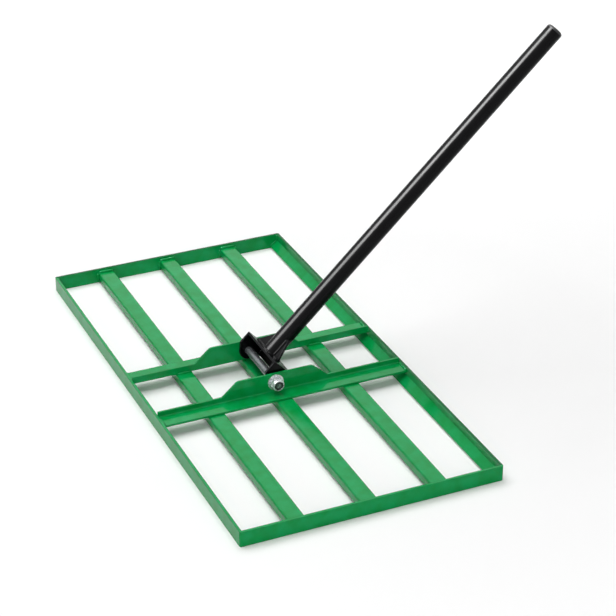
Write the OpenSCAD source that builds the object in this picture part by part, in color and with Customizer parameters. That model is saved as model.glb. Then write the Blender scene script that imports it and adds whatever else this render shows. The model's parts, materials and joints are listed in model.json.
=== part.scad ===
// Lawn leveling rake: a welded frame of flat bars with three tube slats, dragged by a short handle
// that tilts on one long bolt between the ears of two crossbars.
// X runs across the frame towards the handle, Y along its long edges and Z up from the ground.

/* [Frame] */
// Length of the frame along Y
frame_length = 762; // [600:1:1000]
// Width of the frame along X
frame_width = 381; // [340:1:500]
// Height of the rails' flat bars
rail_height = 22.5; // [21:0.5:40]
// Thickness of the rails' flat bars
rail_t = 4; // [3:0.5:6]
// Radius of the frame's outer corners
frame_corner_r = 3; // [1:0.5:3]
// Height of the inner bend of the rear rail, whose lower part runs inwards
runner_height = 12.5; // [9:0.5:15]
// Slope of the rear rail's lower part
runner_angle = 37; // [30:1:60]

/* [Slats] */
// Width of a slat's tube
slat_width = 25; // [15:0.5:40]
// Height of a slat's tube
slat_height = 14; // [10:0.5:18]
// Wall of a slat's tube
slat_wall = 1.5; // [1:0.1:2]
// Outer corner radius of a slat's tube
slat_corner_r = 2.5; // [2.2:0.1:4]
// Distance from slat to slat
slat_pitch = 103.3; // [80:0.1:120]
// Place of the middle slat across the frame
slat_shift = -4.8; // [-15:0.1:15]
// Height of the slats above the ground
slat_lift = 3; // [0:0.5:5]

/* [Crossbars] */
// Thickness of the crossbars' plate
bar_t = 3; // [2:0.5:5]
// Width of a crossbar's flat leg
bar_flat = 28; // [15:0.5:40]
// Height of a crossbar's upright leg beside the ear
bar_height = 10.5; // [8:0.5:14]
// Radius in the root of a crossbar
bar_root_r = 2; // [1:0.5:4]
// Distance between the two ears
ear_gap = 101; // [85:0.5:140]
// Width of an ear where it leaves the upright leg
ear_base = 163; // [140:1:190]
// Width of an ear along its top
ear_top = 116; // [80:1:125]
// Height of an ear above the pivot
ear_rise = 13.5; // [13:0.5:25]
// Radius of an ear's top corners
ear_corner_r = 9; // [3:0.5:12]

/* [Pivot] */
// Place of the pivot across the frame
pivot_x = -9.2; // [-30:0.1:20]
// Place of the middle of the pivot along the frame
pivot_y = -20; // [-60:0.1:60]
// Diameter of the bolt
bolt_d = 12; // [8:0.5:14]
// Radial clearance of the yoke's bores on the bolt
running_clearance = 0.075; // [0.02:0.005:0.1]
// Radial clearance of the ears and washers on the bolt
hole_clearance = 0.5; // [0.2:0.1:1]
// Size across the flats of the bolt's head and the nut
hex_flats = 18; // [17:0.5:22]
// Height of the bolt's head
head_height = 7.5; // [5:0.5:10]
// Diameter of the washers
washer_d = 24; // [22:0.5:30]
// Thickness of the washers
washer_t = 2; // [1.5:0.1:3]
// Room between a washer's rim and the root of a crossbar
washer_room = 0.5; // [0.1:0.1:3]
// Play of the yoke beside each inner washer
side_play = 0.3; // [0.3:0.05:1]
// Height of the nut's hexagon
nut_height = 7.5; // [5:0.5:10]
// Height of the nut's round collar
collar_height = 4; // [3.5:0.1:6]
// Diameter of the nut's collar
collar_d = 17.2; // [16.5:0.1:18]
// Thickness of the nut's insert ring
insert_t = 2.6; // [2:0.1:3]
// Diameter of the nut's insert ring
insert_d = 14.8; // [14.4:0.1:15.2]
// Opening in the collar's lip
lip_opening = 13.4; // [13:0.1:14]

/* [Yoke] */
// Thickness of the yoke's plates
yoke_t = 3; // [2:0.5:5]
// Width of the yoke across the handle
yoke_width = 40; // [34:0.5:50]
// Distance from the pivot to the top of the yoke
yoke_rise = 21.7; // [18:0.1:40]
// Radius of the yoke's upper edges
yoke_edge_r = 1; // [0.5:0.1:3]
// Height above the pivot where the cheeks start to taper
cheek_shoulder = 2; // [0:0.5:6]
// Clearance between the cheeks' round ends and the middle slat
cheek_clearance = 3.5; // [1:0.5:6]
// Height of the rear wall's lower edge above the pivot
wall_foot = 4; // [0:0.5:8]

/* [Handle] */
// Angle of the handle above the ground at rest
handle_angle = 43.75; // [30:0.25:90]
// Diameter of the handle's tube
tube_d = 25.4; // [20:0.1:34]
// Wall of the handle's tube
tube_wall = 1.5; // [1:0.1:3]
// Length of the handle's tube
tube_length = 610; // [500:1:1500]
// Place of the tube along the yoke, from its middle
tube_shift = 1.2; // [-10:0.1:10]
// Height of the end plug's head
plug_head = 4; // [3:0.5:8]
// Length of the end plug's body inside the tube
plug_body = 25; // [10:1:40]
// Wall of the end plug's body
plug_wall = 2; // [1:0.1:3]
// Radial clearance of the end plug's body in the tube
plug_clearance = 0.1; // [0.05:0.05:0.3]

/* [Gussets] */
// Thickness of the gussets
gusset_t = 4; // [2:0.5:6]
// Length of the right gusset's foot, from the tube's surface
right_gusset_base = 29; // [15:0.5:33]
// Height of the right gusset
right_gusset_rise = 28; // [20:0.5:80]
// Length of the left gusset's foot, from the tube's surface
left_gusset_base = 14; // [10:0.5:33]
// Height of the left gusset
left_gusset_rise = 32; // [20:0.5:80]
// Width of the gussets' blunt tips
gusset_toe = 2; // [1:0.5:5]

/* [Hidden] */
$fn = 96;

frame_paint = "#1F8A4C";
handle_paint = "#17181A";
plug_plastic = "#101011";
zinc = "#B4B8BA";
nylon = "#1B1B1D";

// Cuts run this far past the faces that they open
overrun = 1;
// Radial clearance of the nut and its insert on the bolt and in each other
thread_clearance = 0.05;
// Chamfer on the bolt's end
bolt_chamfer = 1.4;
// The bolt's end stays this far below the rim of the nut
bolt_setback = 0.4;
// Slope of the chamfer on a hexagon
hex_chamfer_angle = 30;

// The long rails and the slats butt on the end rails, and the crossbars lie on the slats
inner_length = frame_length - 2 * rail_t;
slat_top = slat_lift + slat_height;
bar_length = frame_width - 2 * rail_t;

// The rear rail's lower part slopes inwards until its corner meets the ground
runner_length = (runner_height - rail_t * cos(runner_angle)) / sin(runner_angle);

// The outer washers clear the root of the crossbars, which sets the height of the pivot
pivot_lift = bar_t + bar_root_r + washer_room + washer_d / 2;
pivot_z = slat_top + pivot_lift;
ear_height = pivot_lift + ear_rise;
ear_slope = atan2(ear_height - bar_height, (ear_base - ear_top) / 2);
ear_corner_run = ear_corner_r * tan(ear_slope / 2);

// The bolt holds both ears, and the yoke fills what the inner washers leave between them
hole_d = bolt_d + 2 * hole_clearance;
bolt_seat = ear_gap / 2 + bar_t + washer_t;
nut_total = nut_height + collar_height;
bolt_tip = bolt_seat + nut_total - bolt_setback;
yoke_length = ear_gap - 2 * (washer_t + side_play);

// The cheeks taper along tangents from their shoulders to the round ends about the pivot
cheek_r = pivot_lift - cheek_clearance;
shoulder_reach = norm([yoke_width / 2, cheek_shoulder]);
tangent_angle = atan2(cheek_shoulder, yoke_width / 2) - acos(cheek_r / shoulder_reach);

// The origin lies on the ground below the middle of the whole part
tube_r = tube_d / 2;
plug_edge_r = plug_head;
plug_centre = yoke_rise + tube_length;
handle_reach = pivot_x + plug_centre * cos(handle_angle)
    + (tube_r - plug_edge_r) * sin(handle_angle) + plug_edge_r;
origin_x = (handle_reach - frame_width / 2) / 2;

// Moves the frame from its own middle to the part's origin
module on_frame() {
    translate([-origin_x, 0, 0]) children();
}

// Puts the pivot's own axes in place: Y along the bolt
module on_pivot() {
    on_frame() translate([pivot_x, pivot_y, pivot_z]) children();
}

// Puts the handle's own axes in place: Z along the tube and Y along the bolt
module on_handle() {
    on_pivot() rotate([0, 90 - handle_angle, 0]) children();
}

// The corner between two legs at right angles that a radius fills
module fillet_section(radius) {
    difference() {
        square(radius);
        translate([radius, radius]) circle(radius);
    }
}

// Rectangle about the origin with round corners
module round_rectangle(width, height, radius) {
    square([width - 2 * radius, height], center = true);
    square([width, height - 2 * radius], center = true);
    for (x = [-1, 1], y = [-1, 1])
        translate([x * (width / 2 - radius), y * (height / 2 - radius)]) circle(radius);
}

// Extrudes an outline drawn in X and Z along Y, from Y = 0
module along_y(length) {
    translate([0, length, 0]) rotate([90, 0, 0]) linear_extrude(length) children();
}

// Extrudes an outline drawn in Y and Z along X, about X = 0
module along_x(length) {
    rotate([90, 0, 90]) linear_extrude(length, center = true) children();
}

// Flat bar in X and Z, X = 0 at its outer face, with its lower part bent inwards
module runner_section() {
    slope = [cos(runner_angle), -sin(runner_angle)];
    below = -rail_t * [sin(runner_angle), cos(runner_angle)];
    bend = [rail_t, runner_height];
    tip = bend + runner_length * slope;
    heel = runner_height + below[1] + (rail_t + below[0]) * tan(runner_angle);
    polygon([[0, rail_height], [0, heel], tip + below, tip, bend, [rail_t, rail_height]]);
}

// Flat bar across the frame, along X, with its outer face at Y = 0 and round outer corners
module end_rail() {
    half = frame_width / 2;
    linear_extrude(rail_height) difference() {
        translate([-half, 0]) square([frame_width, rail_t]);
        translate([-half, 0]) fillet_section(frame_corner_r);
        translate([half, 0]) rotate(90) fillet_section(frame_corner_r);
    }
}

module front_rail() {
    color(frame_paint) on_frame() translate([-frame_width / 2, -inner_length / 2, 0])
        along_y(inner_length) square([rail_t, rail_height]);
}

module rear_rail() {
    color(frame_paint) on_frame() translate([frame_width / 2, inner_length / 2, 0])
        rotate(180) along_y(inner_length) runner_section();
}

module left_end_rail() {
    color(frame_paint) on_frame() translate([0, -frame_length / 2, 0]) end_rail();
}

module right_end_rail() {
    color(frame_paint) on_frame() translate([0, frame_length / 2, 0]) rotate(180) end_rail();
}

// Slat number -1, 0 or 1 of the row, a rectangular tube along Y
module slat(number) {
    inner_r = slat_corner_r - slat_wall;
    color(frame_paint) on_frame()
        translate([slat_shift + number * slat_pitch, -inner_length / 2, slat_lift + slat_height / 2])
        along_y(inner_length) difference() {
            round_rectangle(slat_width, slat_height, slat_corner_r);
            round_rectangle(slat_width - 2 * slat_wall, slat_height - 2 * slat_wall, inner_r);
        }
}

module front_slat() {
    slat(-1);
}

module middle_slat() {
    slat(0);
}

module rear_slat() {
    slat(1);
}

// Upright leg of a crossbar in X and Z: a low strip that rises to the ear about the pivot
module bar_outline() {
    corner_x = ear_top / 2 - ear_corner_run;
    slope_x = ear_top / 2 + ear_corner_run * cos(ear_slope);
    slope_z = ear_height - ear_corner_run * sin(ear_slope);
    translate([-bar_length / 2, 0]) square([bar_length, bar_height]);
    translate([pivot_x, 0]) {
        polygon([
            [-ear_base / 2, bar_height], [-slope_x, slope_z], [-corner_x, ear_height],
            [corner_x, ear_height], [slope_x, slope_z], [ear_base / 2, bar_height]
        ]);
        for (side = [-1, 1])
            translate([side * corner_x, ear_height - ear_corner_r]) circle(ear_corner_r);
    }
}

// Crossbar on the +Y side of the pivot's middle: the ear inside, the flat leg turned outwards
module crossbar() {
    color(frame_paint) difference() {
        translate([0, ear_gap / 2, slat_top]) {
            along_y(bar_t) bar_outline();
            along_x(bar_length) {
                square([bar_flat, bar_t]);
                translate([bar_t, bar_t]) fillet_section(bar_root_r);
            }
        }
        translate([pivot_x, ear_gap / 2 - overrun, pivot_z])
            along_y(bar_t + 2 * overrun) circle(d = hole_d);
    }
}

module left_crossbar() {
    on_frame() translate([0, pivot_y, 0]) mirror([0, 1, 0]) crossbar();
}

module right_crossbar() {
    on_frame() translate([0, pivot_y, 0]) crossbar();
}

// Side view of a cheek, X across the handle: square top, tapering to a round end about the bolt
module cheek_outline() {
    tangent = cheek_r * [cos(tangent_angle), sin(tangent_angle)];
    half = yoke_width / 2;
    difference() {
        polygon([
            [-half, yoke_rise], [-half, cheek_shoulder], [-tangent[0], tangent[1]],
            tangent, [half, cheek_shoulder], [half, yoke_rise]
        ]);
        translate([half, yoke_rise]) rotate(180) fillet_section(yoke_edge_r);
    }
    circle(cheek_r);
}

// Front view of the yoke, X along the bolt, with both upper edges rounded
module yoke_outline() {
    half = yoke_length / 2;
    foot = -cheek_r - overrun;
    difference() {
        translate([-half, foot]) square([yoke_length, yoke_rise - foot]);
        translate([half, yoke_rise]) rotate(180) fillet_section(yoke_edge_r);
        translate([-half, yoke_rise]) rotate(270) fillet_section(yoke_edge_r);
    }
}

// Box of plates, open to the front and below: top plate, two cheeks and a short rear wall
module yoke() {
    inside = yoke_length - 2 * yoke_t;
    depth = cheek_r + overrun;
    color(handle_paint) on_handle() difference() {
        intersection() {
            along_x(yoke_width) yoke_outline();
            translate([0, -yoke_length / 2, 0]) along_y(yoke_length) cheek_outline();
        }
        translate([-yoke_width / 2 - overrun, -inside / 2, -depth])
            cube([yoke_width - yoke_t + overrun, inside, depth + yoke_rise - yoke_t]);
        translate([0, -inside / 2, -depth])
            cube([yoke_width / 2 + overrun, inside, depth + wall_foot]);
        translate([0, -yoke_length / 2 - overrun, 0])
            along_y(yoke_length + 2 * overrun) circle(bolt_d / 2 + running_clearance);
    }
}

// Gusset beside the tube, turned about it from the +Y side, coped to it and with its foot on the yoke
module gusset(base, rise, turn) {
    color(handle_paint) on_handle() translate([0, tube_shift, yoke_rise]) rotate(turn) difference() {
        along_x(gusset_t) polygon([
            [0, 0], [tube_r + base, 0], [tube_r + base, gusset_toe],
            [tube_r + gusset_toe, rise], [0, rise]
        ]);
        translate([0, 0, -overrun]) cylinder(d = tube_d, h = rise + 2 * overrun);
    }
}

module right_gusset() {
    gusset(right_gusset_base, right_gusset_rise, 0);
}

module left_gusset() {
    gusset(left_gusset_base, left_gusset_rise, 180);
}

module handle_tube() {
    color(handle_paint) on_handle() translate([0, tube_shift, yoke_rise]) difference() {
        cylinder(d = tube_d, h = tube_length);
        translate([0, 0, -overrun])
            cylinder(r = tube_r - tube_wall, h = tube_length + 2 * overrun);
    }
}

// Cup-shaped plug: a head with a round edge on the tube's end and a hollow body inside the tube
module end_plug() {
    body_r = tube_r - tube_wall - plug_clearance;
    color(plug_plastic) on_handle() translate([0, tube_shift, plug_centre]) rotate_extrude() {
        square([tube_r - plug_edge_r, plug_head]);
        intersection() {
            translate([tube_r - plug_edge_r, 0]) circle(plug_edge_r);
            square([tube_r, plug_head]);
        }
        translate([body_r - plug_wall, -plug_body]) square([plug_wall, plug_body]);
    }
}

// Turns a piece drawn along +Z from the ears' middle to the head's side (+Y) or the nut's side (-Y)
module along_bolt(side) {
    on_pivot() rotate([-90 * side, 0, 0]) children();
}

// Hexagon along Z from Z = 0, its far edges chamfered
module hexagon(height) {
    corner_r = hex_flats / 2 / cos(30);
    chamfer = (corner_r - hex_flats / 2) * tan(hex_chamfer_angle);
    intersection() {
        cylinder(r = corner_r, h = height, $fn = 6);
        rotate_extrude() polygon([
            [0, 0], [corner_r, 0], [corner_r, height - chamfer], [hex_flats / 2, height], [0, height]
        ]);
    }
}

module pivot_bolt() {
    bolt_r = bolt_d / 2;
    color(zinc) {
        along_bolt(1) translate([0, 0, bolt_seat]) hexagon(head_height);
        along_bolt(-1) rotate_extrude() polygon([
            [0, -bolt_seat], [bolt_r, -bolt_seat], [bolt_r, bolt_tip - bolt_chamfer],
            [bolt_r - bolt_chamfer, bolt_tip], [0, bolt_tip]
        ]);
    }
}

// Washer along Z from Z = 0
module washer() {
    color(zinc) difference() {
        cylinder(d = washer_d, h = washer_t);
        translate([0, 0, -overrun]) cylinder(d = hole_d, h = washer_t + 2 * overrun);
    }
}

module outer_washers() {
    for (side = [-1, 1])
        along_bolt(side) translate([0, 0, ear_gap / 2 + bar_t]) washer();
}

module inner_washers() {
    for (side = [-1, 1])
        along_bolt(side) translate([0, 0, ear_gap / 2 - washer_t]) washer();
}

// Lock nut: a chamfered hexagon under a round collar, whose lip holds the insert ring
module lock_nut() {
    lip_t = collar_height - insert_t;
    collar_r = collar_d / 2;
    color(zinc) along_bolt(-1) translate([0, 0, bolt_seat]) difference() {
        union() {
            hexagon(nut_height);
            rotate_extrude() {
                square([collar_r, nut_total - lip_t]);
                square([collar_r - lip_t, nut_total]);
                intersection() {
                    translate([collar_r - lip_t, nut_total - lip_t]) circle(lip_t);
                    square([collar_r, nut_total]);
                }
            }
        }
        translate([0, 0, -overrun])
            cylinder(r = bolt_d / 2 + thread_clearance, h = nut_total + 2 * overrun);
        translate([0, 0, nut_height]) cylinder(r = insert_d / 2 + thread_clearance, h = insert_t);
        translate([0, 0, nut_height]) cylinder(d = lip_opening, h = collar_height + overrun);
    }
}

module nut_insert() {
    color(nylon) along_bolt(-1) translate([0, 0, bolt_seat + nut_height]) difference() {
        cylinder(d = insert_d, h = insert_t);
        translate([0, 0, -overrun])
            cylinder(r = bolt_d / 2 + thread_clearance, h = insert_t + 2 * overrun);
    }
}

front_rail();
rear_rail();
left_end_rail();
right_end_rail();
front_slat();
middle_slat();
rear_slat();
left_crossbar();
right_crossbar();
yoke();
left_gusset();
right_gusset();
handle_tube();
end_plug();
pivot_bolt();
outer_washers();
inner_washers();
lock_nut();
nut_insert();
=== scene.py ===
"""Looks of a lawn leveling rake: paint, plating, weld beads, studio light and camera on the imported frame.

X runs across the head towards the handle, Y along its long edges and Z up from the ground. Sizes are in
millimetres until a mesh is made, which is in metres. The studio's sizes are in metres.
"""

import json
import logging
import math
from dataclasses import dataclass, field, replace
from enum import Enum
from typing import Any

import bpy
import numpy as np
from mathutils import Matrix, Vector


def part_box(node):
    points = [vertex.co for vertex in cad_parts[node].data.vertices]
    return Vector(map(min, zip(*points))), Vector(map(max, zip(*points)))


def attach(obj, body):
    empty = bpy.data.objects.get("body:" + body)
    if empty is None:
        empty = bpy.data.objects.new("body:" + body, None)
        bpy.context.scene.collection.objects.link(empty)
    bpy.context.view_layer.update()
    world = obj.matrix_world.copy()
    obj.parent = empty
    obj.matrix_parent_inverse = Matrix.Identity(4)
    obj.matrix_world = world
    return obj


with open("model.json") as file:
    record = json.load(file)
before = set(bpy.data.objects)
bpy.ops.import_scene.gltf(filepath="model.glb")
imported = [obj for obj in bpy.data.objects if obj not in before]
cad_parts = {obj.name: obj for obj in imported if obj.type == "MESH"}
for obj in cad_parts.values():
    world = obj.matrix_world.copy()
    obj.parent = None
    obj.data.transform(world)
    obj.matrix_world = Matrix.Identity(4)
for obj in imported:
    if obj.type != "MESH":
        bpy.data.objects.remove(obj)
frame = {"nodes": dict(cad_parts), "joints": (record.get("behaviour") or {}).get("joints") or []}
LOG = logging.getLogger("rake")
MM = 0.001
Array = np.ndarray
Span = tuple[float, float]
Socket = bpy.types.NodeSocket
Tree = bpy.types.NodeTree
X, Y, Z = np.eye(3)


class Body(Enum):
    """The rigid bodies that pieces ride on."""

    FRAME = "frame"
    HANDLE = "handle"


class Slot(Enum):
    """The record's material slots."""

    FRAME_PAINT = "frame_paint"
    HANDLE_PAINT = "handle_paint"
    NYLON = "nylon"


# Colours and nodes


def linear(code: str) -> tuple[float, float, float, float]:
    """Turns an sRGB hex colour into linear values.

    Args:
        code: a hash and six hex digits.

    Returns:
        Red, green, blue and an alpha of one.
    """
    values = np.array([int(code[i:i + 2], 16) / 255 for i in (1, 3, 5)])
    low, high = values / 12.92, ((values + 0.055) / 1.055) ** 2.4
    red, green, blue = np.where(values <= 0.04045, low, high).tolist()
    return red, green, blue, 1.0


def per_mm(size: float) -> float:
    """Texture scale, on coordinates in metres, that gives features of this size in millimetres."""
    return 1.0 / (size * MM)


def add(tree: Tree, kind: str, inputs: dict[Any, Any] | None = None, **settings: Any) -> bpy.types.Node:
    """Adds a node with its settings and links.

    Args:
        tree: the node tree that gets the node.
        kind: the node's type name.
        inputs: socket name or number to a constant, or to the output socket that feeds it.
        settings: attributes of the node.

    Returns:
        The new node.
    """
    node = tree.nodes.new(kind)
    for name, value in settings.items():
        setattr(node, name, value)
    for key, value in (inputs or {}).items():
        if isinstance(value, Socket):
            tree.links.new(value, node.inputs[key])
        else:
            node.inputs[key].default_value = value
    return node


def object_place(tree: Tree) -> Socket:
    """Adds Object coordinates, which are in metres."""
    return add(tree, "ShaderNodeTexCoord").outputs["Object"]


def sum_up(tree: Tree, operation: str, first: Any, second: Any) -> Socket:
    """Adds a Math node on two values or sockets and returns its result."""
    return add(tree, "ShaderNodeMath", {0: first, 1: second}, operation=operation).outputs[0]


def ranged(tree: Tree, value: Socket, source: Span = (0.0, 1.0), target: Span = (0.0, 1.0)) -> Socket:
    """Carries a value from one range over to another.

    Args:
        tree: the node tree that gets the node.
        value: the value to carry.
        source, target: both ranges, from start to end.

    Returns:
        The new value, which stays at the target's ends beyond the source's.
    """
    return add(tree, "ShaderNodeMapRange",
               {"Value": value, "From Min": source[0], "From Max": source[1],
                "To Min": target[0], "To Max": target[1]}).outputs["Result"]


def noise(tree: Tree, place: Socket, size: float, detail: float) -> Socket:
    """Adds a cloudy noise.

    Args:
        tree: the node tree that gets the node.
        place: coordinates in metres.
        size: size of its clouds in mm.
        detail: how many finer layers it has.

    Returns:
        The noise, mostly between 0.3 and 0.7.
    """
    return add(tree, "ShaderNodeTexNoise",
               {"Vector": place, "Scale": per_mm(size), "Detail": detail}).outputs["Fac"]


# A Mix node that mixes colours has its factor, its two colours and its result at these sockets
MIX_FACTOR, MIX_FIRST, MIX_SECOND, MIX_RESULT = 0, 6, 7, 2


def blend(tree: Tree, factor: Socket, first: Any, second: str) -> Socket:
    """Mixes two colours.

    Args:
        tree: the node tree that gets the node.
        factor: share of the second colour.
        first: hex colour, or a socket that gives one.
        second: hex colour.

    Returns:
        The mixed colour.
    """
    start = linear(first) if isinstance(first, str) else first
    return add(tree, "ShaderNodeMix",
               {MIX_FACTOR: factor, MIX_FIRST: start, MIX_SECOND: linear(second)},
               data_type="RGBA").outputs[MIX_RESULT]


# Samples with which an edge's rounding is looked up
EDGE_SAMPLES = 4


def rounded_edges(tree: Tree, radius: float) -> Socket:
    """Adds normals that round each edge by a radius in mm."""
    return add(tree, "ShaderNodeBevel", {"Radius": radius * MM}, samples=EDGE_SAMPLES).outputs["Normal"]


def blank_material(name: str) -> tuple[bpy.types.Material, Tree]:
    """Makes a material with an empty node tree.

    Args:
        name: the material's name.

    Returns:
        The material and its tree.
    """
    material = bpy.data.materials.new(name)
    material.use_nodes = True
    material.node_tree.nodes.clear()
    return material, material.node_tree


def coat(tree: Tree, inputs: dict[str, Any]) -> None:
    """Ends a material's tree with a principled shader.

    Args:
        tree: the material's node tree.
        inputs: the shader's values and sockets.
    """
    shader = add(tree, "ShaderNodeBsdfPrincipled", inputs).outputs["BSDF"]
    add(tree, "ShaderNodeOutputMaterial", {"Surface": shader})


# Finishes

# Range of a noise over which gloss changes, and specular level that leaves gloss to the refraction alone
GLOSS_NOISE = (0.3, 0.7)
FULL_LEVEL = 0.5


@dataclass(frozen=True)
class PowderCoat:
    """Polyester powder coat, sprayed on steel and baked: a thick glossy film.

    The film flows into a faint orange peel, rounds the edges of the steel below it and varies a little
    in depth of colour and in gloss. Its edges carry a rim colour: painted shade where the rim is darker
    than the film, a painted highlight where it is paler, with the gloss cut down there if so set.

    Attributes:
        full, thin: colours of a thick and of a thin film.
        roughness, spread: gloss, and how far it varies.
        rim, painted_rim_share, painted_rim_level: colour of the painted shade or painted highlight along
        the edges, how far it covers, and the gloss left there.
        shaded_top_height: height in mm above which faces that look up get painted shade in the rim's
            colour.
        ior, tint: refraction of the film, and the colour that it gives its gloss seen face on.
        peel, peel_depth: size and depth of the orange peel in mm.
        drift, drift_noise: size of the colour's changes in mm, and the noise's range from full to thin.
        edge: radius that the film gives an edge in mm.
        painted_rim_turn: cosine of the film's turn away from its face where the painted rim starts and
            where it is full.
        shaded_top_rise: how far up a face looks, as a cosine, where its painted shade starts and where it
            is full.
    """

    name: str
    full: str
    thin: str
    roughness: float
    spread: float
    painted_rim: str
    painted_rim_share: float = 0.7
    painted_rim_level: float = FULL_LEVEL
    shaded_top_height: float | None = None
    ior: float = 1.3
    tint: str = "#FFFFFF"
    peel: float = 3.0
    peel_depth: float = 0.02
    drift: float = 20.0
    drift_noise: Span = (0.35, 0.65)
    edge: float = 1.1
    painted_rim_turn: Span = (0.985, 0.75)
    shaded_top_rise: Span = (0.6, 0.9)

    def painted_rim_mask(self, tree: Tree, place: Socket, rounded: Socket) -> Socket:
        """Finds where the painted rim goes: along the edges, and on the upward faces that get painted shade
        if there are any.

        Args:
            tree: the paint's node tree.
            place: Object coordinates.
            rounded: the film's normals.

        Returns:
            Share of the painted rim colour, from zero on open faces to painted_rim_share.
        """
        facing = add(tree, "ShaderNodeNewGeometry").outputs["Normal"]
        turn = add(tree, "ShaderNodeVectorMath", {0: rounded, 1: facing},
                   operation="DOT_PRODUCT").outputs["Value"]
        painted_rim = ranged(tree, turn, self.painted_rim_turn, (0.0, self.painted_rim_share))
        if self.shaded_top_height is None:
            return painted_rim
        # Faces that look up above shaded_top_height get painted shade in the rim's colour.
        height = add(tree, "ShaderNodeSeparateXYZ", {0: place}).outputs["Z"]
        above = sum_up(tree, "GREATER_THAN", height, self.shaded_top_height * MM)
        rise = add(tree, "ShaderNodeSeparateXYZ", {0: facing}).outputs["Z"]
        shaded_top = sum_up(tree, "MULTIPLY", rise, above)
        return sum_up(tree, "MAXIMUM", painted_rim, ranged(tree, shaded_top, self.shaded_top_rise, (0.0, self.painted_rim_share)))

    def material(self) -> bpy.types.Material:
        """Builds the paint's nodes.

        Returns:
            The material.
        """
        material, tree = blank_material(self.name)
        place = object_place(tree)
        rounded = rounded_edges(tree, self.edge)
        painted_rim = self.painted_rim_mask(tree, place, rounded)
        # Where painted_rim_level is set, the gloss drops along the rim: painted shade on the sheen as well.
        level: Any = FULL_LEVEL
        if self.painted_rim_level != FULL_LEVEL:
            level = ranged(tree, painted_rim, target=(FULL_LEVEL, self.painted_rim_level))
        drift = noise(tree, place, self.drift, 4.0)
        film = blend(tree, ranged(tree, drift, self.drift_noise), self.full, self.thin)
        gloss = ranged(tree, drift, GLOSS_NOISE,
                       (self.roughness - self.spread, self.roughness + self.spread))
        bump = add(tree, "ShaderNodeBump",
                   {"Distance": self.peel_depth * MM, "Height": noise(tree, place, self.peel, 1.0),
                    "Normal": rounded})
        # The rim colour mixed over the film is painted shade along the edges, or a painted highlight where
        # the rim is paler.
        coat(tree, {"Base Color": blend(tree, painted_rim, film, self.painted_rim), "Roughness": gloss, "IOR": self.ior,
                    "Specular IOR Level": level, "Specular Tint": linear(self.tint),
                    "Normal": bump.outputs["Normal"]})
        return material


@dataclass(frozen=True)
class ZincPlate:
    """Bright zinc plating, barrel plated on turned and forged steel, or such steel bare and oiled.

    It is a pale bluish metal with soft cloudy spots, fine tumbling marks and rounded edges.

    Attributes:
        bright, dull: colours of clean and of clouded metal.
        roughness, spread: gloss, and how far the clouds change it.
        metal: share of bare metal, the rest being the milky film over it.
        cloud, tumble: sizes of the clouds and of the tumbling marks in mm.
        tumble_depth, tumble_strength: depth of the marks in mm, and how far they show.
        edge: radius of an edge in mm.
    """

    name: str
    bright: str
    dull: str
    roughness: float
    spread: float
    metal: float
    cloud: float = 5.0
    tumble: float = 0.8
    tumble_depth: float = 0.02
    tumble_strength: float = 0.5
    edge: float = 0.5

    def material(self) -> bpy.types.Material:
        """Builds the metal's nodes.

        Returns:
            The material.
        """
        material, tree = blank_material(self.name)
        place = object_place(tree)
        cloud = noise(tree, place, self.cloud, 3.0)
        gloss = ranged(tree, cloud, GLOSS_NOISE,
                       (self.roughness - self.spread, self.roughness + self.spread))
        bump = add(tree, "ShaderNodeBump",
                   {"Strength": self.tumble_strength, "Distance": self.tumble_depth * MM,
                    "Height": noise(tree, place, self.tumble, 2.0),
                    "Normal": rounded_edges(tree, self.edge)})
        coat(tree, {"Base Color": blend(tree, cloud, self.bright, self.dull), "Roughness": gloss,
                    "Metallic": self.metal, "Normal": bump.outputs["Normal"]})
        return material


@dataclass(frozen=True)
class MouldedPlastic:
    """Injection moulded plastic with the fine spark-eroded grain of its mould.

    Attributes:
        colour, scuffed: colours of the plastic and of its lightly rubbed places.
        roughness: gloss of the grain.
        ior: refraction of the plastic.
        rub: size of the rubbed places in mm.
        grain, grain_depth: size and depth of the grain in mm.
    """

    name: str
    colour: str
    scuffed: str
    roughness: float
    ior: float = 1.46
    rub: float = 12.0
    grain: float = 0.7
    grain_depth: float = 0.03

    def material(self) -> bpy.types.Material:
        """Builds the plastic's nodes.

        Returns:
            The material.
        """
        material, tree = blank_material(self.name)
        place = object_place(tree)
        colour = blend(tree, noise(tree, place, self.rub, 5.0), self.colour, self.scuffed)
        grain = add(tree, "ShaderNodeTexVoronoi",
                    {"Vector": place, "Scale": per_mm(self.grain)}).outputs["Distance"]
        bump = add(tree, "ShaderNodeBump", {"Distance": self.grain_depth * MM, "Height": grain})
        coat(tree, {"Base Color": colour, "Roughness": self.roughness, "IOR": self.ior,
                    "Normal": bump.outputs["Normal"]})
        return material


# The green's dark rim is painted shade along its edges; the black's pale rim is a painted highlight along
# its edges.
GREEN_COAT = PowderCoat("green_powder_coat", "#008B3D", "#06964E", 0.13, 0.03, painted_rim="#00431C",
                        painted_rim_level=0.15, tint="#C8FFFF")
# These rails' upward faces above 20 mm get painted shade in the green's dark rim colour.
SHADED_TOP_COAT = replace(GREEN_COAT, name="green_powder_coat_with_painted_shade_on_tops", shaded_top_height=20.0)
BLACK_COAT = PowderCoat("black_powder_coat", "#020203", "#050507", 0.24, 0.03, painted_rim="#6C7078",
                        painted_rim_share=0.35, ior=1.2)
DARK_STEEL = ZincPlate("oiled_steel", "#8E9295", "#5C6063", 0.24, 0.05, metal=0.6)
BRIGHT_ZINC = ZincPlate("zinc_plated_steel", "#DDE0E2", "#B4B9BC", 0.25, 0.06, metal=0.7)
PLUG_PLASTIC = MouldedPlastic("black_polyethylene", "#0A0A0B", "#161617", 0.42)
# This black also makes the ring of painted shade on the bolt's tip.
NYLON_FOR_INSERT_AND_SHADE_RING = MouldedPlastic("black_nylon_and_painted_shade", "#060607", "#101012", 0.55)


# Beads

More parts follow.
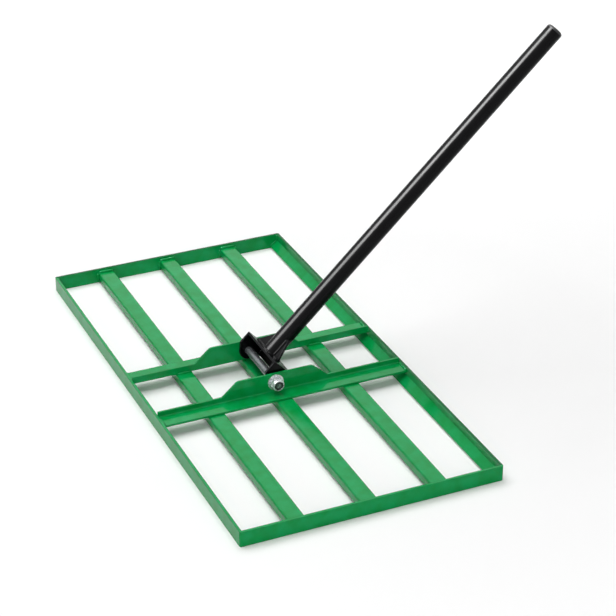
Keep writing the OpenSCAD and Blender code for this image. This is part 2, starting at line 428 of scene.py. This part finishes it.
# Points along a bead to each of its ripples, and the fewest along a straight one
RIPPLE_STEPS = 6
LEAST_STEPS = 12

# How far out of its corner a fillet's middle lies, as a share of its leg
FILLET_SHARE = 0.25

# How far the slow swelling of a bead is shifted from that of the one before, in radians
PHASE_STEP = 1.7


@dataclass
class Seam:
    """One bead: of weld, or a dark ring of painted shade.

    Attributes:
        path: points along the middle of the bead in mm, one row each.
        across, up: half width and half height of the bead in mm as vectors, for the whole bead or per
            point.
        closed: whether the path is a ring.
        ripple, ripple_share: length of one ripple in mm, and its height as a share of the bead.
        bow: how far a ripple bows along the bead, in radians of the ripple.
        swell_length, swell_share: the same as the ripple's for a slow swelling, per radian.
        around: points around the bead.
    """

    path: Array
    across: Array
    up: Array
    closed: bool = False
    ripple: float = 2.6
    ripple_share: float = 0.1
    bow: float = 1.1
    swell_length: float = 4.0
    swell_share: float = 0.08
    around: int = 12

    def surface(self, phase: float) -> tuple[Array, list[list[int]]]:
        """Bead as a tube about its path, swollen by ripples that bow along it.

        point(s, a) = path(s) + k(s, a) (across cos a + up sin a), with
        k = taper(s) (1 + ripple_share cos(2 pi s / ripple + bow sin a))
        (1 + swell_share sin(s / swell_length + phase)),
        where s is the length along the path and taper falls to zero as a quarter ellipse at open ends.

        Args:
            phase: shifts the slow swelling, so that no two beads are alike.

        Returns:
            Points in mm and faces that point outwards.
        """
        steps = np.linalg.norm(np.diff(self.path, axis=0), axis=1)
        length = np.concatenate([[0.0], np.cumsum(steps)])[:, None]
        angle = np.linspace(0, 2 * math.pi, self.around, endpoint=False)[None, :]
        swell = 1 + self.ripple_share * np.cos(2 * math.pi * length / self.ripple
                                               + self.bow * np.sin(angle))
        swell = swell * (1 + self.swell_share * np.sin(length / self.swell_length + phase))
        if not self.closed:
            run = np.linalg.norm(np.atleast_2d(self.across), axis=1).max()
            near = np.clip(np.minimum(length, length[-1] - length) / run, 0, 1)
            swell = swell * np.sqrt(np.clip(1 - (1 - near) ** 2, 0, 1))
        across = np.broadcast_to(self.across, self.path.shape)[:, None, :]
        up = np.broadcast_to(self.up, self.path.shape)[:, None, :]
        rings = self.path[:, None, :] + swell[..., None] * (
            across * np.cos(angle)[..., None] + up * np.sin(angle)[..., None])
        return skin(rings, self.closed)


def skin(rings: Array, closed: bool) -> tuple[Array, list[list[int]]]:
    """Skins a row of rings with quads, and with triangles to the poles of an open row.

    Args:
        rings: points as rows of rings, with the first and last ring as poles where the row is open,
            or with the last ring on the first where it is closed.
        closed: whether the row of rings closes on itself.

    Returns:
        Points and faces that point outwards.
    """
    count, around = rings.shape[:2]
    step = np.roll(np.arange(around), -1)
    if closed:
        points = rings[:-1].reshape(-1, 3)
        first = np.arange(count - 1)
        second = np.roll(first, -1)
    else:
        points = np.vstack([rings[0].mean(0), rings[1:-1].reshape(-1, 3), rings[-1].mean(0)])
        first = np.arange(count - 3)
        second = first + 1
    lift = 0 if closed else 1
    here = first[:, None] * around + np.arange(around) + lift
    here_on = first[:, None] * around + step + lift
    there = second[:, None] * around + np.arange(around) + lift
    there_on = second[:, None] * around + step + lift
    faces = np.stack([here, here_on, there_on, there], axis=-1).reshape(-1, 4).tolist()
    if not closed:
        ring, last = np.arange(around), len(points) - 1
        tail = last - around
        faces += np.stack([np.zeros(around, int), step + 1, ring + 1], axis=-1).tolist()
        faces += np.stack([np.full(around, last), ring + tail, step + tail], axis=-1).tolist()
    return points, outward(points, faces)


def outward(points: Array, faces: list[list[int]]) -> list[list[int]]:
    """Turns all faces of a closed skin round if its signed volume is negative.

    Args:
        points: the skin's points.
        faces: its faces, which all turn the same way.

    Returns:
        Faces that point outwards.
    """
    triples = points[np.array([face[:3] for face in faces])]
    volume = np.einsum("ij,ij->i", triples[:, 0], np.cross(triples[:, 1], triples[:, 2])).sum()
    return [face[::-1] for face in faces] if volume < 0 else faces


def straight(start: Array, end: Array, across: Array, up: Array) -> Seam:
    """Bead along a straight line.

    Args:
        start, end: its ends in mm.
        across, up: its half width and half height in mm as vectors.

    Returns:
        The bead, with the same number of points to each ripple.
    """
    start, end = np.asarray(start, float), np.asarray(end, float)
    count = max(LEAST_STEPS, int(np.linalg.norm(end - start) / Seam.ripple * RIPPLE_STEPS))
    share = np.linspace(0, 1, count)[:, None]
    return Seam(start + (end - start) * share, np.asarray(across, float), np.asarray(up, float))


def fillet(start: Array, end: Array, first: Array, second: Array, leg: float) -> Seam:
    """Bead in the corner between two faces.

    Args:
        start, end: ends of the corner line in mm.
        first, second: unit vectors along the two faces, away from the corner.
        leg: how far the bead reaches along each face in mm.

    Returns:
        The bead, a round one whose middle lies a share of the leg out of the corner.
    """
    shift = FILLET_SHARE * leg * (np.asarray(first) + np.asarray(second))
    radius = (1 - FILLET_SHARE) * leg
    return straight(np.asarray(start) + shift, np.asarray(end) + shift,
                    radius * np.asarray(first), radius * np.asarray(second))


def bead_piece(name: str, seams: list[Seam], finish: bpy.types.Material, body: Body) -> None:
    """Makes one object of its beads.

    Args:
        name: the piece's name.
        seams: its beads.
        finish: the material over them.
        body: the body that the piece rides on.
    """
    points: list[Array] = []
    faces: list[list[int]] = []
    start = 0
    for number, seam in enumerate(seams):
        seam_points, seam_faces = seam.surface(PHASE_STEP * number)
        points.append(seam_points)
        faces += [[corner + start for corner in face] for face in seam_faces]
        start += len(seam_points)
    mesh = bpy.data.meshes.new(name)
    mesh.from_pydata((np.vstack(points) * MM).tolist(), [], faces)
    mesh.shade_smooth()
    mesh.update()
    piece = bpy.data.objects.new(name, mesh)
    bpy.context.scene.collection.objects.link(piece)
    piece.data.materials.append(finish)
    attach(piece, body.value)
    LOG.info("%s: %d beads, %d faces", name, len(seams), len(faces))


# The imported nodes


def corners(node: str) -> tuple[Array, Array]:
    """Lowest and highest corner of a CAD node in mm."""
    low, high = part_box(node)
    return np.array(low) / MM, np.array(high) / MM


def pivot_point() -> Array:
    """Point in mm on the bolt's axis about which the handle turns."""
    return np.array(frame["joints"][0]["pos_m"]) / MM


def dress(nodes: tuple[str, ...], finish: bpy.types.Material) -> None:
    """Gives CAD nodes their finish.

    Args:
        nodes: the nodes' names.
        finish: the material over them.
    """
    for name in nodes:
        materials = frame["nodes"][name].data.materials
        materials.clear()
        materials.append(finish)
        LOG.info("%s: %s", name, finish.name)


# Sub-assemblies


@dataclass
class Head:
    """The welded frame: four rails of flat bar, three slats and two crossbars, all in green.

    Attributes:
        rail_t, bar_t: thickness of the rails and of the crossbars' plate in mm.
        runner_height, runner_angle: height in mm at which the rear rail is bent in, and by how many
            degrees.
        slat_corner: rounding of the slats' edges in mm.
        corner_leg, corner_stop: leg of the beads in the frame's corners, and how far they stop short of
            the rails' edges, in mm.
        slat_leg, slat_side_leg: legs of the beads over and beside the slats' ends in mm.
        slat_stop, slat_foot: how far these stop short of the slats' edges, above and at the foot, in mm.
        bar_leg, bar_side_leg: legs of the beads along the crossbars' feet and up their ends in mm.
        bar_bend: how far the beads on the flat leg keep from the upright one in mm.
        bar_stop, bar_top_stop: how far beads stop short of the bars' and the rails' edges in mm.
        bar_rise, bar_foot: how far up the beads outside and inside the upright leg start in mm.
        rails, sheared, slats, bars: names of the nodes; the second set of rails gets painted shade on its
            upward faces.
    """

    rail_t: float = 4.0
    bar_t: float = 3.0
    runner_height: float = 12.5
    runner_angle: float = 37.0
    slat_corner: float = 2.5
    corner_leg: float = 2.4
    corner_stop: float = 0.6
    slat_leg: float = 3.4
    slat_side_leg: float = 3.0
    slat_stop: float = 0.4
    slat_foot: float = 1.0
    bar_leg: float = 2.4
    bar_side_leg: float = 2.2
    bar_bend: float = 1.5
    bar_stop: float = 0.6
    bar_top_stop: float = 0.8
    bar_rise: float = 0.4
    bar_foot: float = 0.5
    rails: tuple[str, ...] = ("front_rail", "left_end_rail")
    shaded_tops: tuple[str, ...] = ("rear_rail", "right_end_rail")
    slats: tuple[str, ...] = ("front_slat", "middle_slat", "rear_slat")
    bars: tuple[str, ...] = ("left_crossbar", "right_crossbar")

    def corner_seams(self) -> list[Seam]:
        """Lays beads up the four inner corners, and down the rear rail's slope on the end rails.

        Returns:
            The beads.
        """
        turn = math.radians(self.runner_angle)
        slope_up = math.cos(turn) * Z - math.sin(turn) * X
        seams = []
        for rail, inwards in (("front_rail", 1.0), ("rear_rail", -1.0)):
            low, high = corners(rail)
            rear = inwards < 0
            face = high[0] - self.rail_t if rear else low[0] + self.rail_t
            foot = self.runner_height if rear else low[2] + self.corner_stop
            for y, into in ((low[1], 1.0), (high[1], -1.0)):
                seams.append(fillet([face, y, foot], [face, y, high[2] - self.corner_stop],
                                    X * inwards, Y * into, self.corner_leg))
                if rear:
                    seams.append(fillet([face, y, foot], [low[0], y, self.rail_t * math.cos(turn)],
                                        slope_up, Y * into, self.corner_leg))
        return seams

    def slat_seams(self) -> list[Seam]:
        """Lays beads over and beside the ends of the slats on the end rails.

        Returns:
            The beads.
        """
        seams = []
        for slat in self.slats:
            low, high = corners(slat)
            for y, into in ((low[1], 1.0), (high[1], -1.0)):
                seams.append(fillet([low[0] + self.slat_stop, y, high[2]],
                                    [high[0] - self.slat_stop, y, high[2]],
                                    Y * into, Z, self.slat_leg))
                for x, side in ((low[0], -1.0), (high[0], 1.0)):
                    seams.append(fillet([x, y, low[2] + self.slat_foot], [x, y, high[2] - self.slat_stop],
                                        X * side, Y * into, self.slat_side_leg))
        return seams

    def bar_seams(self) -> list[Seam]:
        """Lays beads at the foot of the crossbars on the outer slats, and where the bars meet the rails.

        The middle slat has none, because the yoke swings close over it.

        Returns:
            The beads.
        """
        rail_top = corners("front_rail")[1][2] - self.bar_top_stop
        seams = []
        for bar, side in zip(self.bars, (-1, 1)):
            low, high = corners(bar)
            inner, outer = (high[1], low[1]) if side < 0 else (low[1], high[1])
            for slat in self.slats[::2]:
                slat_low, slat_high = corners(slat)
                seams.append(fillet([slat_low[0] + self.slat_corner, inner, low[2]],
                                    [slat_high[0] - self.slat_corner, inner, low[2]],
                                    -Y * side, Z, self.bar_leg))
            upright = inner + side * self.bar_t
            top = low[2] + self.bar_t
            for x, into in ((low[0], 1.0), (high[0], -1.0)):
                seams.append(fillet([x, upright + side * self.bar_bend, top],
                                    [x, outer - side * self.bar_stop, top],
                                    X * into, Z, self.bar_leg))
                seams.append(fillet([x, upright, top + self.bar_rise], [x, upright, rail_top],
                                    X * into, Y * side, self.bar_side_leg))
                seams.append(fillet([x, inner, low[2] + self.bar_foot], [x, inner, rail_top],
                                    X * into, -Y * side, self.bar_side_leg))
        return seams

    def build(self) -> None:
        """Paints the nodes and lays the beads."""
        paint = GREEN_COAT.material()
        dress(self.rails + self.slats + self.bars, paint)
        # The rear and right end rails get painted shade on their upward faces.
        dress(self.shaded_tops, SHADED_TOP_COAT.material())
        bead_piece("corner_welds", self.corner_seams(), paint, Body.FRAME)
        bead_piece("slat_welds", self.slat_seams(), paint, Body.FRAME)
        bead_piece("crossbar_welds", self.bar_seams(), paint, Body.FRAME)


@dataclass
class Handle:
    """The yoke, its two gussets and the plugged tube, all in black, turned about the pivot.

    Attributes:
        angle: the tube's rise above the ground in degrees.
        yoke_rise: from the pivot to the yoke's top along the tube in mm.
        tube_d, tube_shift: the tube's diameter, and its place along the bolt from the pivot, in mm.
        gusset_t: thickness of the gussets in mm.
        right_base, left_base, right_rise, left_rise: the gussets' legs on the yoke and up the tube in mm.
        foot_lift, foot_bead: how far the ring bead's middle lies out of its corner, and its radius, mm.
        gusset_leg, tube_leg: legs of the gussets' beads on the yoke and on the tube in mm.
        gusset_start, tube_start, tube_stop: how far these keep from the tube, from the yoke and from
            the gusset's tip in mm.
        painted: names of the nodes.
        pivot: the point about which the handle turns in mm.
    """

    angle: float = 43.75
    yoke_rise: float = 21.7
    tube_d: float = 25.4
    tube_shift: float = 1.2
    gusset_t: float = 4.0
    right_base: float = 29.0
    left_base: float = 14.0
    right_rise: float = 28.0
    left_rise: float = 32.0
    foot_lift: float = 0.4
    foot_bead: float = 2.0
    gusset_leg: float = 2.6
    tube_leg: float = 2.2
    gusset_start: float = 2.0
    tube_start: float = 1.5
    tube_stop: float = 1.0
    painted: tuple[str, ...] = ("yoke", "left_gusset", "right_gusset", "handle_tube")
    pivot: Array = field(default_factory=pivot_point)

    @property
    def axes(self) -> tuple[Array, Array, Array]:
        """Works out the handle's own axes.

        Returns:
            Unit vectors across the handle, along the bolt and along the tube.
        """
        turn = math.radians(self.angle)
        along = np.array([math.cos(turn), 0, math.sin(turn)])
        return np.cross(Y, along), Y, along

    def place(self, across: float, bolt: float, along: float) -> Array:
        """Point in mm from its distances along the handle's own axes."""
        u, v, w = self.axes
        return self.pivot + across * u + bolt * v + along * w

    def foot_seam(self) -> Seam:
        """Lays the ring bead about the tube's foot: a circle about the tube on the yoke's top.

        path(a) = middle + (tube_d / 2 + foot_lift) (u cos a + v sin a).

        Returns:
            The bead.
        """
        u, v, w = self.axes
        count = int(math.pi * self.tube_d / Seam.ripple) * RIPPLE_STEPS
        angle = np.linspace(0, 2 * math.pi, count + 1)[:, None]
        out = np.cos(angle) * u + np.sin(angle) * v
        middle = self.place(0, self.tube_shift, self.yoke_rise + self.foot_lift)
        return Seam(middle + (self.tube_d / 2 + self.foot_lift) * out, self.foot_bead * out,
                    self.foot_bead * w, closed=True)

    def gusset_seams(self) -> list[Seam]:
        """Lays beads along both faces of each gusset, on the yoke and up the tube.

        Returns:
            The beads.
        """
        u, v, w = self.axes
        radius, half = self.tube_d / 2, self.gusset_t / 2
        seams = []
        for side, base, rise in ((1, self.right_base, self.right_rise),
                                 (-1, self.left_base, self.left_rise)):
            start = self.tube_shift + side * (radius + self.gusset_start)
            end = self.tube_shift + side * (radius + base)
            wall = self.tube_shift + side * math.sqrt(radius ** 2 - half ** 2)
            for face in (-1, 1):
                seams.append(fillet(self.place(face * half, start, self.yoke_rise),
                                    self.place(face * half, end, self.yoke_rise),
                                    face * u, w, self.gusset_leg))
                seams.append(fillet(self.place(face * half, wall, self.yoke_rise + self.tube_start),
                                    self.place(face * half, wall, self.yoke_rise + rise - self.tube_stop),
                                    face * u, side * v, self.tube_leg))
        return seams

    def build(self) -> None:
        """Paints the nodes and lays the beads."""
        paint = BLACK_COAT.material()
        dress(self.painted, paint)
        dress(("end_plug",), PLUG_PLASTIC.material())
        bead_piece("tube_foot_weld", [self.foot_seam()], paint, Body.HANDLE)
        bead_piece("gusset_welds", self.gusset_seams(), paint, Body.HANDLE)


@dataclass
class Pivot:
    """The bolt with its washers and lock nut.

    Attributes:
        shade_ring_r, shade_ring_width, shade_ring_height: radius, half width and half height of the nylon
        lip in mm.
        shade_ring_steps: points along the ring.
        plated: names of the plated nodes.
    """

    shade_ring_r: float = 4.7
    shade_ring_width: float = 1.0
    shade_ring_height: float = 0.35
    shade_ring_steps: int = 72
    plated: tuple[str, ...] = ("outer_washers", "inner_washers", "lock_nut")

    def shade_ring_seam(self) -> Seam:
        """Lays a black ring over the bolt's tip as painted shade on its edge: a flat ring about the bolt's
        axis.

        path(a) = tip + shade_ring_r (x cos a + z sin a).

        Returns:
            The ring, as a bead with no ripples.
        """
        angle = np.linspace(0, 2 * math.pi, self.shade_ring_steps + 1)[:, None]
        out = np.cos(angle) * X + np.sin(angle) * Z
        tip = pivot_point()
        tip[1] = corners("pivot_bolt")[0][1]
        return Seam(tip + self.shade_ring_r * out, self.shade_ring_width * out, self.shade_ring_height * Y, closed=True,
                    ripple_share=0.0)

    def build(self) -> None:
        """Gives the bolt its dark steel, the washers and nut their plating and the insert its nylon, and
        lays the ring of painted shade on the bolt's tip in the same black.
        """
        dress(("pivot_bolt",), DARK_STEEL.material())
        dress(self.plated, BRIGHT_ZINC.material())
        nylon = NYLON_FOR_INSERT_AND_SHADE_RING.material()
        dress(("nut_insert",), nylon)
        # The ring is painted shade: a black ring where the bolt's tip lies in shade.
        bead_piece("painted_shade_ring", [self.shade_ring_seam()], nylon, Body.FRAME)


# Studio


class Shows(Enum):
    """What a lamp adds to the picture."""

    BOTH = "light and highlight"
    MATT = "light alone"
    GLOSS = "highlight alone"


@dataclass(frozen=True)
class SoftBox:
    """A rectangular studio lamp that faces the object.

    Attributes:
        towards: direction from the object to the lamp.
        distance, width, height: its place and size in metres.
        watts: its power.
        shows: whether it lights matt colour, shows as a highlight, or does both.
    """

    name: str
    towards: tuple[float, float, float]
    distance: float
    width: float
    height: float
    watts: float
    shows: Shows = Shows.BOTH

    def build(self, aim: Vector) -> None:
        """Hangs the lamp and turns it to a point.

        Args:
            aim: the point, in metres.
        """
        lamp = bpy.data.lights.new(self.name, "AREA")
        lamp.shape = "RECTANGLE"
        lamp.size, lamp.size_y = self.width, self.height
        lamp.energy = self.watts
        stand = bpy.data.objects.new(self.name, lamp)
        direction = Vector(self.towards).normalized()
        stand.location = aim + direction * self.distance
        stand.rotation_euler = direction.to_track_quat("Z", "Y").to_euler()
        stand.visible_camera = False
        stand.visible_diffuse = self.shows is not Shows.GLOSS
        stand.visible_glossy = self.shows is not Shows.MATT
        bpy.context.scene.collection.objects.link(stand)


def background_rays(tree: Tree) -> Socket:
    """Finds the rays that see the background.

    Args:
        tree: the node tree that asks.

    Returns:
        One for rays from the camera, from gloss and through glass, so that all of them see the same
        background, and zero for rays that gather light for matt colour.
    """
    path = add(tree, "ShaderNodeLightPath").outputs
    seen = sum_up(tree, "MAXIMUM", path["Is Camera Ray"], path["Is Glossy Ray"])
    return sum_up(tree, "MAXIMUM", seen, path["Is Transmission Ray"])


@dataclass
class Studio:
    """Pale floor, white surround, soft boxes and the camera at the photograph's angle.

    Attributes:
        azimuth, elevation: the camera's heading from +Y towards +X, and how far it looks down, degrees.
        distance: from the camera to its aim in metres.
        aim: the point on the ground in the middle of the picture, in metres.
        focal, picture, sensor: focal length and picture width in pixels, sensor width in mm.
        sight: how far the camera sees in metres.
        floor_half, floor_colour: how far the floor reaches in metres, and its colour.
        floor_glow: light that the floor adds of its own where the camera or a reflection sees it.
        far_glow: the same far out, which the lamps hardly reach.
        glow_reach: how far from the object the glow starts to grow and is full, metres.
        surround_colour: colour of the surround.
        backdrop, ambient: strength of the surround as it is seen, and as it lights matt colour.
        lamp_aim: the point that the lamps face, in metres.
        boxes: the lamps. The back box gives upward faces their sheen, the strips the tube its stripe.
    """

    azimuth: float = 24.027
    elevation: float = 28.63
    distance: float = 3.1387
    aim: tuple[float, float, float] = (0.01418, 0.1647, 0.0)
    focal: float = 2029.3
    picture: float = 616.0
    sensor: float = 36.0
    sight: float = 100.0
    floor_half: float = 12.0
    floor_colour: str = "#F0F0F0"
    floor_glow: float = 0.055
    far_glow: float = 0.8
    glow_reach: Span = (0.4, 4.0)
    surround_colour: str = "#FFFFFF"
    backdrop: float = 1.0
    ambient: float = 0.16
    lamp_aim: tuple[float, float, float] = (0.0, 0.0, 0.05)
    boxes: tuple[SoftBox, ...] = (
        SoftBox("overhead_box", (-0.1, 0.25, 0.96), 3.0, 3.0, 3.0, 104.0),
        SoftBox("front_fill", (-0.35, -0.87, 0.35), 4.0, 2.0, 2.0, 48.0, Shows.MATT),
        SoftBox("back_box", (0.357, 0.802, 0.479), 6.0, 5.0, 4.0, 31.0, Shows.GLOSS),
        SoftBox("low_strip", (-0.728, 0.168, 0.664), 6.0, 3.8, 1.3, 520.0, Shows.GLOSS),
        SoftBox("high_strip", (-0.575, 0.1, 0.812), 6.16, 3.0, 1.6, 1010.0, Shows.GLOSS),
    )

    def camera(self) -> None:
        """Sets the camera up level, looking down at its aim."""
        lens = bpy.data.cameras.new("camera")
        lens.sensor_width = self.sensor
        lens.lens = self.sensor * self.focal / self.picture
        lens.clip_end = self.sight
        stand = bpy.data.objects.new("camera", lens)
        heading, tilt = math.radians(self.azimuth), math.radians(self.elevation)
        forward = Vector((math.sin(heading) * math.cos(tilt), math.cos(heading) * math.cos(tilt),
                          -math.sin(tilt)))
        stand.location = Vector(self.aim) - forward * self.distance
        stand.rotation_euler = (math.pi / 2 - tilt, 0.0, -heading)
        bpy.context.scene.collection.objects.link(stand)
        bpy.context.scene.camera = stand

    def floor_material(self) -> bpy.types.Material:
        """Builds the floor's nodes: matt colour, and a glow that grows away from the object.

        Returns:
            The material.
        """
        material, tree = blank_material("white_sweep")
        material.cycles.emission_sampling = "NONE"
        reach = add(tree, "ShaderNodeVectorMath", {0: object_place(tree)},
                    operation="LENGTH").outputs["Value"]
        level = ranged(tree, reach, self.glow_reach, (self.floor_glow, self.far_glow))
        strength = sum_up(tree, "MULTIPLY", background_rays(tree), level)
        glow = add(tree, "ShaderNodeEmission", {"Strength": strength}).outputs["Emission"]
        matt = add(tree, "ShaderNodeBsdfDiffuse", {"Color": linear(self.floor_colour)}).outputs["BSDF"]
        both = add(tree, "ShaderNodeAddShader", {0: matt, 1: glow}).outputs["Shader"]
        add(tree, "ShaderNodeOutputMaterial", {"Surface": both})
        return material

    def floor(self) -> None:
        """Lays the floor, which takes shadows and looks white to the camera and in reflections."""
        half = self.floor_half
        mesh = bpy.data.meshes.new("floor")
        mesh.from_pydata([(-half, -half, 0), (half, -half, 0), (half, half, 0), (-half, half, 0)], [],
                         [(0, 1, 2, 3)])
        piece = bpy.data.objects.new("floor", mesh)
        bpy.context.scene.collection.objects.link(piece)
        piece.data.materials.append(self.floor_material())

    def surround(self) -> None:
        """Sets the plain white surround, which the camera and reflections see alike."""
        world = bpy.data.worlds.new("surround")
        bpy.context.scene.world = world
        world.use_nodes = True
        tree = world.node_tree
        tree.nodes.clear()
        level = ranged(tree, background_rays(tree), target=(self.ambient, self.backdrop))
        sky = add(tree, "ShaderNodeBackground",
                  {"Color": linear(self.surround_colour), "Strength": level}).outputs["Background"]
        add(tree, "ShaderNodeOutputWorld", {"Surface": sky})

    def build(self) -> None:
        """Sets up the floor, the light and the camera."""
        self.camera()
        self.floor()
        self.surround()
        for box in self.boxes:
            box.build(Vector(self.lamp_aim))
        bpy.context.scene.view_settings.view_transform = "Standard"


def main() -> None:
    """Builds the scene in order."""
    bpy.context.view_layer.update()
    Studio().build()
    Head().build()
    Handle().build()
    Pivot().build()


if __name__ == "__main__":
    logging.basicConfig(level=logging.INFO, format="%(message)s")
    main()
